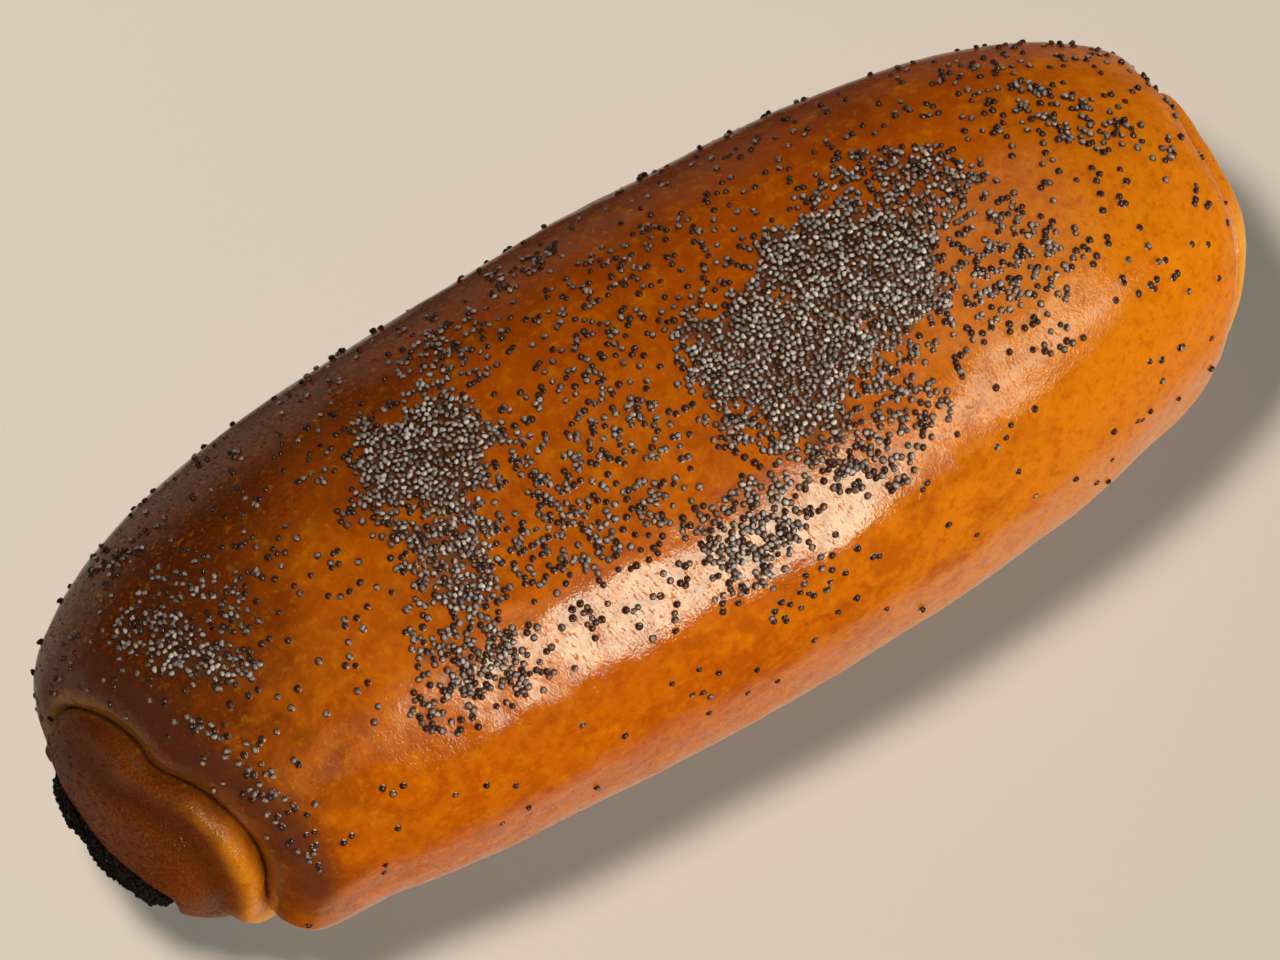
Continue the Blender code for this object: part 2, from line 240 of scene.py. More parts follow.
def coreAway(y, z, grow=0.0):
    # 1 on the outline of the filling's core, less inside it
    across = (y - core["centre"][0]) / (core["halfWidth"] + grow)
    up = (z - core["centre"][1]) / (core["halfHeight"] + grow)
    half = core["power"] / 2
    turn = np.arctan2(signedPower(up, half), signedPower(across, half))
    away = np.abs(across) ** core["power"] + np.abs(up) ** core["power"]
    return away ** (1 / core["power"]) / lumpyAt(turn)


def noiseAt(points, grain, seed=0.0, octaves=1):
    # smooth noise of about one grain's size, one value for each point, -1 to 1
    flat = points.reshape(-1, 3)
    shift = Vector((seed, seed * 0.7, -seed))
    if octaves == 1:
        made = [noise.noise(Vector(point) / grain + shift) for point in flat]
    else:
        made = [noise.fractal(Vector(point) / grain + shift, 0.9, 2.0, octaves) for point in flat]
    return np.array(made).reshape(points.shape[:-1])


def smoothStep(value, low, high):
    share = np.clip((value - low) / (high - low), 0, 1)
    return share * share * (3 - 2 * share)


def gridFaces(rows, columns, start=0, wrap=True):
    # quads between rows of points, each row closed on itself if wrap is set
    last = columns if wrap else columns - 1
    row, column = np.meshgrid(np.arange(rows - 1), np.arange(last), indexing="ij")
    beside = (column + 1) % columns
    here, after = start + row * columns, start + (row + 1) * columns
    quads = np.stack([here + column, here + beside, after + beside, after + column], axis=-1)
    return quads.reshape(-1, 4)


def meshPiece(name, points, faces):
    # a smooth-shaded piece at the origin, facing outwards
    data = bpy.data.meshes.new(name)
    data.from_pydata(points.tolist(), [], faces)
    shape = bmesh.new()
    shape.from_mesh(data)
    bmesh.ops.recalc_face_normals(shape, faces=shape.faces)
    shape.to_mesh(data)
    shape.free()
    data.shade_smooth()
    piece = bpy.data.objects.new(name, data)
    bpy.context.scene.collection.objects.link(piece)
    return piece


def markPoints(piece, name, values):
    # a value for each point, which the finishes and the scatter read
    marks = piece.data.attributes.new(name, "FLOAT", "POINT")
    marks.data.foreach_set("value", np.asarray(values, np.float32).reshape(-1))


# Dough: one skin from the filling's mouth on the left, over the crust, to the right mouth,
# closed by the channel that the filling runs through
dough = {
    "columns": 250,
    "barrelHalf": 0.060,
    "barrelRings": 112,
    "leastInner": 0.06,  # least share of the section between the mouth and the crease
    "innerRings": 30,  # from the mouth to the crease
    "outerRings": 62,  # from the crease to the barrel
    "crowding": 2.2,  # how much closer the rings are beside the crease
    "mouthRound": 0.0022,  # radius of the dough's rim round the filling
    "channelRings": 6,
    "slowUneven": 0.00035,  # hand-made unevenness, by size of its lumps
    "slowGrain": 0.021,
    "fineUneven": 0.00013,
    "fineGrain": 0.0055,
    "rimUneven": {-1: 0.0012, 1: 0.0003},  # how ragged the rim round the filling is
    "rimGrain": 0.0040,
}


def evenAngles(columns):
    # angles whose points are evenly spaced round the section
    fine = np.linspace(0, 2 * math.pi, 20001)
    y, z = sectionAt(fine)
    z = np.maximum(z, -loaf["widestHeight"])
    steps = np.hypot(np.diff(y), np.diff(z))
    travelled = np.concatenate([[0], np.cumsum(steps)])
    wanted = np.linspace(0, travelled[-1], columns, endpoint=False)
    return np.interp(wanted, travelled, fine)


def mouthSize(angle):
    # the size at which a line from the loaf's axis crosses the core's outline
    y, z = sectionAt(angle)
    low, high = np.zeros_like(angle), np.ones_like(angle)
    for _ in range(40):
        middle = 0.5 * (low + high)
        inside = coreAway(y * middle, loaf["widestHeight"] + z * middle, core["gap"]) < 1
        low = np.where(inside, middle, low)
        high = np.where(inside, high, middle)
    return low


def endRings(side, angle):
    # rows of points of one end, from the filling's mouth to the barrel
    degrees = np.degrees(angle)
    limit = sizeAt(dough["barrelHalf"])
    mouth = mouthSize(angle)
    fold = np.maximum(creaseSize(degrees, side), mouth + dough["leastInner"])
    inward = 1 - np.linspace(1, 0, dough["innerRings"]) ** dough["crowding"]
    outward = np.linspace(0, 1, dough["outerRings"] + 1)[1:] ** (0.8 * dough["crowding"])
    sizes = [mouth + np.outer(inward, fold - mouth), fold + np.outer(outward, limit - fold)]
    sizes = np.concatenate(sizes)
    base, normal = endPoint(side, sizes, angle)
    steps = np.linalg.norm(np.diff(base, axis=0), axis=-1)
    travelled = np.concatenate([np.zeros((1, len(angle))), np.cumsum(steps, axis=0)])
    distance = travelled - travelled[dough["innerRings"] - 1]
    lift = creaseRelief(distance, degrees, side)
    # the rim rounds down into the mouth
    ragged = dough["rimUneven"][side] * noiseAt(base[0], dough["rimGrain"], 3.0 + side)
    near = np.clip(1 - travelled / dough["mouthRound"], 0, 1)
    lift = lift - dough["mouthRound"] * (1 - np.sqrt(1 - near * near)) + ragged * (near > 0) * near
    return base + normal * lift[..., None], distance


def makeDough():
    angle = evenAngles(dough["columns"])
    left, leftFold = endRings(-1, angle)
    right, rightFold = endRings(1, angle)
    half, count = dough["barrelHalf"], dough["barrelRings"]
    places = [-half + 2 * half * ring / count for ring in range(1, count)]
    barrel = np.array([skinPoint(x, sizeAt(x), angle) for x in places])
    skin = np.concatenate([left, barrel, right[::-1]])
    # the barrel counts as far from any fold
    fold = np.concatenate([leftFold, np.full(barrel.shape[:2], 1.0), rightFold[::-1]])
    fromBase = smoothStep(skin[..., 2], 0.0, 0.004)
    uneven = dough["slowUneven"] * noiseAt(skin, dough["slowGrain"], 5.0, 2)
    uneven += dough["fineUneven"] * noiseAt(skin, dough["fineGrain"], 9.0, 3)
    outward = skin - np.array([0, 0, loaf["widestHeight"]])
    outward[..., 0] *= np.clip(np.abs(skin[..., 0]) - half, 0, 0.04) / 0.04
    outward /= np.linalg.norm(outward, axis=-1, keepdims=True)
    skin = skin + outward * (uneven * fromBase)[..., None]
    skin[..., 2] = np.maximum(skin[..., 2], 0.0)
    # the channel from the right mouth back to the left one
    channel = np.linspace(skin[-1], skin[0], dough["channelRings"] + 2)[1:-1]
    rings = np.concatenate([skin, channel])
    rows, columns = rings.shape[:2]
    # the last row joins up with the first one
    faces = gridFaces(rows + 1, columns) % (rows * columns)
    piece = meshPiece("doughCrust", rings.reshape(-1, 3), faces.tolist())
    markPoints(piece, "foldDistance", np.concatenate([fold, np.full((len(channel), columns), -0.02)]))
    return piece


crust = makeDough()
print("dough:", len(crust.data.polygons), "faces")

# Filling: a grainy core that runs through the loaf, and thin tails in the creases
filling = {
    "capCells": 84,
    "seedGrain": 0.0013,  # size of the seeds felt in the paste
    "seedRelief": 0.00042,
    "lumpGrain": 0.0052,
    "lumpRelief": 0.0009,
    "edgeRound": 0.0042,
    "edgeDrop": 0.0042,
    "tailDepth": 0.0030,  # how deep the tail is let into the dough
    "tailShow": 0.0007,  # how far it shows above the bottom of the crease
    "tailHalf": 0.0007,
    "tailTrim": (8.0, 6.0),  # degrees left off its two ends
    "tailUneven": (0.4, 1.2),
    "tailGrain": 0.004,
    "tailSteps": 150,
}


def capPoints(side):
    # a square grid bent to the core's rounded outline, laid on the end of the loaf
    cells = filling["capCells"]
    across, up = np.meshgrid(np.linspace(-1, 1, cells), np.linspace(-1, 1, cells), indexing="ij")
    round1 = across * np.sqrt(1 - up * up / 2)
    round2 = up * np.sqrt(1 - across * across / 2)
    away = np.hypot(round1, round2)
    turn = np.arctan2(round2, round1)
    uneven, exponent = lumpyAt(turn), 2 / core["power"]
    y = core["halfWidth"] * uneven * signedPower(np.cos(turn), exponent) * away
    z = core["halfHeight"] * uneven * signedPower(np.sin(turn), exponent) * away
    y, z = y + core["centre"][0], z + core["centre"][1]
    size = sizeThrough(y, z)
    x = side * reachAt(size)
    base = np.stack([x, y, z], axis=-1)
    turned = np.arctan2(z - loaf["widestHeight"], y)
    normal = skinNormal(x, size, turned)
    edge = np.clip((1 - away) * core["halfHeight"] / filling["edgeRound"], 0, 1)
    lift = core["proud"][side] - filling["edgeDrop"] * (1 - np.sqrt(1 - (1 - edge) ** 2))
    lift = lift + filling["lumpRelief"] * noiseAt(base, filling["lumpGrain"], 2.0 * side) * edge
    flat = base.reshape(-1, 3)
    grains = np.array([noise.voronoi(Vector(point) / filling["seedGrain"])[0][0] for point in flat])
    grains = grains.reshape(base.shape[:-1])
    lift = lift + filling["seedRelief"] * (1 - 2 * grains * grains)
    return base + normal * lift[..., None]


def capBorder(cells):
    # indices round the border of a square grid, in order
    last = cells - 1
    forth, back = np.arange(last), np.arange(last, 0, -1)
    return np.concatenate([forth * cells, last * cells + forth, back * cells + last, back])


def makeCore():
    cells = filling["capCells"]
    left, right = capPoints(-1).reshape(-1, 3), capPoints(1).reshape(-1, 3)
    border = capBorder(cells)
    points = np.concatenate([left, right])
    faces = gridFaces(cells, cells, 0, False).tolist()
    faces += gridFaces(cells, cells, len(left), False).tolist()
    other = border + len(left)
    faces += np.stack([border, np.roll(border, -1), np.roll(other, -1), other], axis=-1).tolist()
    return points, faces


def tailRibbon(side):
    # a thin strip standing in the bottom of the crease
    steps = filling["tailSteps"]
    first, last = filling["tailTrim"]
    degrees = np.linspace(first, crease["end"] - last, steps)
    base, normal = endPoint(side, creaseSize(degrees, side), np.radians(degrees))
    ahead = np.gradient(base, axis=0)
    ahead /= np.linalg.norm(ahead, axis=-1, keepdims=True)
    across = np.cross(ahead, normal)
    bottom = -crease["depth"] * creaseStrength(degrees, side)
    least, more = filling["tailUneven"]
    show = filling["tailShow"] * (least + more * noiseAt(base, filling["tailGrain"], 7.0 * side))
    top = base + normal * (bottom + show)[:, None]
    low = base + normal * (bottom - filling["tailDepth"])[:, None]
    aside = across * filling["tailHalf"]
    rows = np.stack([top + aside, top - aside, low - aside, low + aside], axis=1)
    faces = gridFaces(steps, 4).tolist()
    faces.append((0, 1, 2, 3))
    end = (steps - 1) * 4
    faces.append((end, end + 1, end + 2, end + 3))
    return rows.reshape(-1, 3), faces


def makeFilling():
    points, faces = makeCore()
    for side in (-1, 1):
        more, moreFaces = tailRibbon(side)
        faces += [[index + len(points) for index in face] for face in moreFaces]
        points = np.concatenate([points, more])
    return meshPiece("poppyFilling", points, faces)


paste = makeFilling()
print("filling:", len(paste.data.polygons), "faces")

# Whole seeds: how thickly they lie over the crust
# Each patch: centre x and y in millimetres, half sizes along and across, turn, thickness
sprinkle = {
    "bare": 0.012,
    "patches": (
        (0, 5, 108, 31, 0, 0.120),
        (-89.5, 5, 11, 5, -66, 0.80),
        (-84, -3, 4, 5, 0, 0.76),
        (-86, 10, 11, 12, 0, 0.38),
        (-88, 27, 6, 4, 0, 0.40),
        (-94, -12, 3, 4, 0, 0.40),
        (-88.5, -23, 2.6, 11, 8, 0.26),
        (-38, 10, 11.5, 11.5, 0, 1.00),
        (-27, 24, 11, 6, 41, 0.54),
        (-5, 34, 8, 4, 12, 0.30),
        (-43, -8, 8, 10, 0, 0.84),
        (-48, -23, 10, 8, 0, 0.68),
        (-22, -16, 18, 6, -10, 0.46),
        (-24, -28, 14, 4, 6, 0.12),
        (-14, -1, 17, 12, 0, 0.38),
        (5, 16, 19, 15, 0, 0.22),
        (24, -5, 17, 13, -20, 1.00),
        (43, 1, 18, 12, -20, 1.00),
        (54, 13, 8, 6, -30, 0.66),
        (34, -20, 13, 9, -10, 0.52),
        (60, 7, 10, 9, 0, 0.76),
        (66, -10, 12, 12, 0, 0.42),
        (5, -27, 12, 7, 10, 0.72),
        (26, -27, 8, 5, -10, 0.50),
        (12, -36, 10, 4, 12, 0.12),
        (92, 8, 14, 5, -50, 0.46),
        (81, 22, 9, 6, 0, 0.16),
    ),
    "ragged": 0.45,  # how ragged the patches' edges are
    "raggedGrain": 0.007,
    "edge": (1.45, 0.75),  # how far out a patch's thickness begins and over how much it grows
    "clumping": 1.3,
    "clumpGrain": 0.0030,
    "topFrom": (0.018, 0.050),  # heights over which the seeds begin
    "spacing": 0.00083,
    "sink": 0.00005,  # how far a seed is sunk in the glaze, and how much that varies
    "sinkVaries": 0.00042,
    "random": 11,
}
# The filling's own seeds, sunk deeper
inPaste = {"spacing": 0.00078, "sink": 0.00050, "sinkVaries": 0.00020, "random": 5}


def sprinkleShare(points):
    # how thickly the seeds lie at each point, 0 to 1
    x, y, z = points[:, 0] * 1000, points[:, 1] * 1000, points[:, 2]
    share = np.full(len(points), sprinkle["bare"])
    edge, grown = sprinkle["edge"]
    ragged = sprinkle["ragged"] * noiseAt(points, sprinkle["raggedGrain"], 1.7, 3)
    for centreX, centreY, halfX, halfY, turn, most in sprinkle["patches"]:
        cosine, sine = math.cos(math.radians(turn)), math.sin(math.radians(turn))
        along = (x - centreX) * cosine + (y - centreY) * sine
        across = (y - centreY) * cosine - (x - centreX) * sine
        away = np.hypot(along / halfX, across / halfY) + ragged
        share = np.maximum(share, most * smoothStep(edge - away, 0.0, grown))
    clump = noiseAt(points, sprinkle["clumpGrain"], 4.1)
    share = share * (1 + sprinkle["clumping"] * clump * (1 - share))
    return np.clip(share * smoothStep(z, *sprinkle["topFrom"]), 0, 1)


def markSprinkle(piece):
    points = np.empty(len(piece.data.vertices) * 3)
    piece.data.vertices.foreach_get("co", points)
    points = points.reshape(-1, 3)
    share = sprinkleShare(points)
    folds = np.empty(len(points), np.float32)
    piece.data.attributes["foldDistance"].data.foreach_get("value", folds)
    share[(folds < 0.002) & (np.abs(points[:, 0]) > dough["barrelHalf"])] = 0
    markPoints(piece, "seedShare", share)


markSprinkle(crust)


def markPaste(piece):
    # seeds lie all over both ends of the core, none along its hidden length or on the tails
    cells = filling["capCells"]
    share = np.zeros(len(piece.data.vertices))
    share[: 2 * cells * cells] = 0.9
    border = capBorder(cells)
    share[border] = share[border + cells * cells] = 0.0
    markPoints(piece, "seedShare", share)


markPaste(paste)

# One seed: a small bent bean, a few dozen faces
seedShape = {
    "length": 0.00120,
    "width": 0.00090,
    "height": 0.00082,
    "bend": 0.00013,
    "around": 7,
    "rings": 4,
    # each shape of seed: how long and how bent it is, and how far it leans over
    "shapes": ((1.0, 1.0, 0.0), (0.88, -0.5, 0.30), (1.12, 1.5, -0.35), (0.96, 0.2, 0.15)),
    "scale": (0.84, 1.18),
    "tip": (0.40, 0.30),  # how far a seed may be tipped, along and across
    "pileHeight": 0.0006,
    "pilePaler": 0.42,  # how much paler seeds are in a thick pile, and how much tones vary
    "toneVaries": 0.67,
    "glazeOut": 0.00068,  # the glaze that has gathered round a seed's foot
    "glazeIn": 0.00041,
    "glazeHeight": 0.00012,
    "glazeScale": (0.88, 1.14),
}


def makeSeed(name, longer, bend, lean):
    around, rings = seedShape["around"], seedShape["rings"]
    length = seedShape["length"] * longer
    points = [(-length / 2, 0, 0)]
    for ring in range(1, rings):
        share = -math.cos(math.pi * ring / rings)
        girth = math.sqrt(1 - share * share)
        for step in range(around):
            angle = 2 * math.pi * step / around
            sideways = bend * seedShape["bend"] * (1 - 2 * share * share)
            y = 0.5 * seedShape["width"] * girth * math.cos(angle) + sideways
            z = 0.5 * seedShape["height"] * girth * math.sin(angle)
            points.append((share * length / 2, y, z))
    points.append((length / 2, 0, 0))
    cosine, sine = math.cos(lean), math.sin(lean)
    points = [(x * cosine + z * sine, y, z * cosine - x * sine) for x, y, z in points]
    faces = gridFaces(rings - 1, around, 1).tolist()
    last = len(points) - 1
    for step in range(around):
        beside = (step + 1) % around
        faces.append((0, 1 + beside, 1 + step))
        faces.append((last, last - around + step, last - around + beside))
    seed = meshPiece(name, np.array(points), faces)
    markPoints(seed, "seedUpper", [0.5 + point[2] / seedShape["height"] for point in points])
    return seed


# Node trees, for the scatter of seeds and for the finishes
def shownSocket(sockets, label):
    # a socket by its place, or the one in use among those of its name
    if isinstance(label, int):
        return sockets[label]
    return next(socket for socket in sockets if socket.name == label and socket.enabled)


def setInputs(tree, node, inputs):
    # links other nodes' outputs to a node's inputs, or gives them values
    for label, source in inputs.items():
        socket = shownSocket(node.inputs, label)
        if isinstance(source, (bpy.types.NodeSocket, list)):
            for output in source if isinstance(source, list) else [source]:
                tree.links.new(output, socket)
        else:
            socket.default_value = (*source, 1) if socket.type == "RGBA" else source


def addNode(tree, kind, inputs=(), **settings):
    node = tree.nodes.new(kind)
    for name, value in settings.items():
        setattr(node, name, value)
    setInputs(tree, node, dict(inputs))
    return node


def maths(tree, operation, *sources):
    # takes the sources together from the first to the last
    result = sources[0]
    for source in sources[1:]:
        result = addNode(tree, "ShaderNodeMath", {0: result, 1: source}, operation=operation).outputs[0]
    return result


# Kinds of seed: the piece each lies on, the tones it takes, from wetted and dark to dry and pale,
# and the colours of its sides and its top, painted as shade below and as a highlight on top, and of the glaze
# round its foot
seedKinds = {
    "seedsDark": {
        "bed": "crust", "tones": (0.0, 0.44), "low": (0.010, 0.0045, 0.003), "high": (0.058, 0.034, 0.023),
        "foot": (0.15, 0.030, 0.003), "roughness": 0.24, "gloss": 0.85,
    },
    "seedsGrey": {
        "bed": "crust", "tones": (0.44, 0.76), "low": (0.020, 0.0100, 0.0065), "high": (0.400, 0.325, 0.268),
        "foot": (0.15, 0.030, 0.003), "roughness": 0.27, "gloss": 0.85,
    },
    "seedsPale": {
        "bed": "crust", "tones": (0.76, 1.10), "low": (0.060, 0.038, 0.027), "high": (0.95, 0.84, 0.73),
        "foot": (0.085, 0.021, 0.004), "roughness": 0.32, "gloss": 0.85,
    },
    "seedsInPaste": {
        "bed": "paste", "tones": (-1.0, 2.0), "low": (0.005, 0.0038, 0.003), "high": (0.014, 0.010, 0.008),
        "foot": (0.008, 0.005, 0.003), "roughness": 0.66, "gloss": 0.2,
    },
}
seedBeds = {"crust": (crust, sprinkle), "paste": (paste, inPaste)}


def scatterTree(shapes):
    # spreads seeds over a piece by its seedShare marks and keeps one range of tones
    tree = bpy.data.node_groups.new("scatterSeeds", "GeometryNodeTree")
    identifiers = {}
    kinds = {"Crust": "Geometry", "Random": "Int", "Finish": "Material"}
    floats = ("Spacing", "Thickness", "Sink", "Sink Varies", "Tone From", "Tone To")
    for name, kind in {**kinds, **dict.fromkeys(floats, "Float")}.items():
        socket = tree.interface.new_socket(name=name, in_out="INPUT", socket_type="NodeSocket" + kind)
        identifiers[name] = socket.identifier
    tree.interface.new_socket(name="Seeds", in_out="OUTPUT", socket_type="NodeSocketGeometry")
    given = addNode(tree, "NodeGroupInput").outputs
    times, plus, less, power = (
        partial(maths, tree, operation) for operation in ("MULTIPLY", "ADD", "SUBTRACT", "POWER")
    )

    def drawn(low, high, extra, kind="FLOAT"):
        # a value drawn anew for each seed
        inputs = {"Min": low, "Max": high, "Seed": plus(given["Random"], extra)}
        return shownSocket(addNode(tree, "FunctionNodeRandomValue", inputs, data_type=kind).outputs, "Value")

    def compared(source, operation, limit):
        inputs = {0: source, 1: limit}
        return addNode(tree, "FunctionNodeCompare", inputs, data_type="FLOAT", operation=operation).outputs[0]

    def marked(name, geometry, value):
        inputs = {"Geometry": geometry, "Name": name, "Value": value}
        kept = {"data_type": "FLOAT", "domain": "POINT"}
        return addNode(tree, "GeometryNodeStoreNamedAttribute", inputs, **kept).outputs[0]

    def triple(x=0.0, y=0.0, z=0.0):
        return addNode(tree, "ShaderNodeCombineXYZ", {"X": x, "Y": y, "Z": z}).outputs[0]

    share = addNode(tree, "GeometryNodeInputNamedAttribute", {"Name": "seedShare"}, data_type="FLOAT")
    thickness = shownSocket(share.outputs, "Attribute")
    spread = addNode(tree, "GeometryNodeDistributePointsOnFaces", {
        "Mesh": given["Crust"], "Distance Min": given["Spacing"], "Density Max": given["Thickness"],
        "Density Factor": thickness, "Seed": given["Random"],
    }, distribute_method="POISSON").outputs

    # a pile of dry seeds is paler than a seed that the glaze has wetted
    tone = plus(times(thickness, seedShape["pilePaler"]), drawn(0.0, seedShape["toneVaries"], 3))
    inRange = addNode(tree, "FunctionNodeBooleanMath", {
        0: compared(tone, "GREATER_EQUAL", given["Tone From"]),
        1: compared(tone, "LESS_THAN", given["Tone To"]),
    }, operation="AND")
    chosen = addNode(tree, "GeometryNodeSeparateGeometry", {
        "Geometry": marked("seedTone", spread["Points"], tone), "Selection": inRange.outputs[0],
    }, domain="POINT").outputs[0]

    kit = addNode(tree, "GeometryNodeCollectionInfo", {
        "Collection": shapes, "Separate Children": True, "Reset Children": True,
    })
    laid = addNode(tree, "GeometryNodeInstanceOnPoints", {
        "Points": chosen, "Instance": kit.outputs[0], "Pick Instance": True,
        "Instance Index": drawn(0, len(shapes.objects) - 1, 5, "INT"),
        "Rotation": spread["Rotation"], "Scale": drawn(*seedShape["scale"], 7),
    })
    # the seed's middle stands over the crust by its half height, less what is sunk in; single
    # seeds sink in by different amounts, and the ones in a pile lie on each other
    stand = less(0.5 * seedShape["height"], given["Sink"])
    sunk = times(times(given["Sink Varies"], less(1.0, thickness)), drawn(0.0, 1.0, 19))
    piled = times(power(thickness, 3.0), drawn(0.0, seedShape["pileHeight"], 23))
    lifted = addNode(tree, "GeometryNodeTranslateInstances", {
        "Instances": laid.outputs[0], "Translation": triple(z=plus(less(stand, sunk), piled)),
    })
    tipX, tipY = seedShape["tip"]
    turned = addNode(tree, "GeometryNodeRotateInstances", {
        "Instances": lifted.outputs[0],
        "Rotation": triple(drawn(-tipX, tipX, 11), drawn(-tipY, tipY, 13), drawn(0.0, 2 * math.pi, 17)),
    })

    # a low ring of glaze round each seed's foot, flat on the crust, coloured dark partly as painted contact
    # shade
    ring = addNode(tree, "GeometryNodeMeshCone", {
        "Vertices": 8, "Radius Bottom": seedShape["glazeOut"], "Radius Top": seedShape["glazeIn"],
        "Depth": seedShape["glazeHeight"],
    })
    foot = addNode(tree, "GeometryNodeInstanceOnPoints", {
        "Points": chosen, "Instance": marked("seedUpper", ring.outputs[0], -1.0),
        "Rotation": spread["Rotation"], "Scale": drawn(*seedShape["glazeScale"], 7),
    })
    both = addNode(tree, "GeometryNodeJoinGeometry", {"Geometry": [foot.outputs[0], turned.outputs[0]]})
    solid = addNode(tree, "GeometryNodeRealizeInstances", {"Geometry": both.outputs[0]})
    coloured = {"Geometry": solid.outputs[0], "Material": given["Finish"]}
    finish = addNode(tree, "GeometryNodeSetMaterial", coloured)
    addNode(tree, "NodeGroupOutput", {"Seeds": finish.outputs[0]})
    return tree, identifiers


def evaluatedCopy(piece, name):
    # what a piece's modifiers make of it, as a plain mesh of its own
    graph = bpy.context.evaluated_depsgraph_get()
    data = bpy.data.meshes.new_from_object(piece.evaluated_get(graph))
    data.name = name
    made = bpy.data.objects.new(name, data)
    bpy.context.scene.collection.objects.link(made)
    return made


def scatterSeeds():
    shapes = bpy.data.collections.new("seedShapes")
    for index, (longer, bend, lean) in enumerate(seedShape["shapes"]):
        seed = makeSeed(f"seedShape{index}", longer, bend, lean)
        bpy.context.scene.collection.objects.unlink(seed)
        shapes.objects.link(seed)
    tree, identifiers = scatterTree(shapes)
    made = []
    for name, kind in seedKinds.items():
        bed, laid = seedBeds[kind["bed"]]
        step = bed.modifiers.new("seeds", "NODES")
        step.node_group = tree
        for label, value in (
            ("Spacing", laid["spacing"]), ("Thickness", 4.0 / laid["spacing"] ** 2), ("Sink", laid["sink"]),
            ("Sink Varies", laid["sinkVaries"]), ("Tone From", kind["tones"][0]),
            ("Tone To", kind["tones"][1]), ("Random", laid["random"]), ("Finish", seedMaterial(name, kind)),
        ):
            step[identifiers[label]] = value
        made.append(evaluatedCopy(bed, name))
        bed.modifiers.remove(step)
        print(name, len(made[-1].data.polygons), "faces")
    for seed in list(shapes.objects):
        bpy.data.objects.remove(seed)
    bpy.data.collections.remove(shapes)
    return made


# Finishes
def newMaterial(name):
    made = bpy.data.materials.new(name)
    made.use_nodes = True
    tree = made.node_tree
    return made, tree, tree.nodes["Principled BSDF"]


def ownPlace(tree):
    return addNode(tree, "ShaderNodeTexCoord").outputs["Object"]


def markOf(tree, name):
    return addNode(tree, "ShaderNodeAttribute", attribute_name=name).outputs["Fac"]


def mixColour(tree, share, first, second):
    return addNode(tree, "ShaderNodeMix", {0: share, 6: first, 7: second}, data_type="RGBA").outputs[2]


def ramp(tree, source, low, high, start=0.0, finish=1.0):
    levels = {"Value": source, "From Min": low, "From Max": high, "To Min": start, "To Max": finish}
    return addNode(tree, "ShaderNodeMapRange", levels, interpolation_type="SMOOTHSTEP").outputs[0]


def bumped(tree, height, distance, strength=1.0, invert=False, under=None):
    inputs = {"Strength": strength, "Distance": distance, "Height": height}
    if under is not None:
        inputs["Normal"] = under
    return addNode(tree, "ShaderNodeBump", inputs, invert=invert).outputs["Normal"]


def textureGroup(name, texture, felt, levels, results):
    # a node group of a texture as it is, and the share of it between two levels
    group = bpy.data.node_groups.new(name, "ShaderNodeTree")
    for label in ("Place", *felt, *levels):
        kind = "NodeSocketVector" if label == "Place" else "NodeSocketFloat"
        group.interface.new_socket(name=label, in_out="INPUT", socket_type=kind)
    for label in results:
        group.interface.new_socket(name=label, in_out="OUTPUT", socket_type="NodeSocketFloat")
    given = addNode(group, "NodeGroupInput").outputs
    inputs = {"Vector": given["Place"], **{label: given[label] for label in felt}}
    pattern = addNode(group, texture, inputs).outputs[0]
    inputs = {"Value": pattern, **{label: given[label] for label in levels}}
    share = addNode(group, "ShaderNodeMapRange", inputs, interpolation_type="SMOOTHSTEP").outputs[0]
    addNode(group, "NodeGroupOutput", dict(zip(results, (pattern, share))))
    return group


# uneven baking, and seeds felt through a skin or the pits of one seed
grainInputs = ("Scale", "Detail", "Roughness", "Distortion")
grainLevels = ("From Min", "From Max", "To Min", "To Max")
sharedGroups = {
    "unevenGrain": textureGroup(
        "unevenGrain", "ShaderNodeTexNoise", grainInputs, grainLevels, ("Grain", "Share")
    ),
    "pittedNet": textureGroup(
        "pittedNet", "ShaderNodeTexVoronoi", ("Scale",), ("From Min", "From Max"), ("Depth", "Middle")
    ),
}


def placed(tree, name, place, values):
    # one of the shared groups in a material, with that material's own values
    inputs = {"Place": place, **values}
    return addNode(tree, "ShaderNodeGroup", inputs, node_tree=sharedGroups[name]).outputs


def unevenGrain(tree, place, scale, detail=3.0, rough=0.55, warp=0.0, levels=()):
    # soft lumps as they are, or by levels: where a patch begins and is full, its least and most
    values = dict(zip(grainInputs + grainLevels, (scale, detail, rough, warp, *levels)))
    return placed(tree, "unevenGrain", place, values)["Share" if levels else "Grain"]


crustFinish = {
    "golden": (0.64, 0.138, 0.0016),
    "goldenLight": (0.84, 0.265, 0.0030),
    "brown": (0.40, 0.060, 0.0014),
    "dark": (0.085, 0.019, 0.0045),
    "darkBakedSheen": (0.100, 0.028, 0.014),  # the lip's crest on the left: dark-baked, its purple tint a painted sheen
    "pale": (0.84, 0.270, 0.0060),
    "lessBaked": (0.84, 0.38, 0.035),
    "paintedGlow": (0.86, 0.40, 0.095),  # painted light: the floor's bounce right down by the base, and a pale glint on the right lip's edge
    "olive": (0.25, 0.100, 0.014),
    "innerTurn": (0.165, 0.034, 0.0050),
    "ridge": (0.80, 0.260, 0.0110),
    "shadeBetweenSeeds": (0.090, 0.048, 0.0240),
    "roughness": 0.55,
    "glaze": (1.0, 0.60),  # how full the egg wash is outside and inside the folds
    "glazeRoughness": 0.055,
    "glazeIor": 1.6,
    "wrinkleScale": 1350.0,
    "wrinkleHeight": 0.000044,
    "streakScale": 2500.0,  # thin streaks, drawn out across the loaf
    "streakHeight": 0.000034,
    "streakStretch": (1.0, 3.1, 3.1),
    "streakTurn": 0.28,
    "pebbleScale": 2300.0,
    "pebbleHeight": 0.000014,
    "pitScale": 2300.0,
}


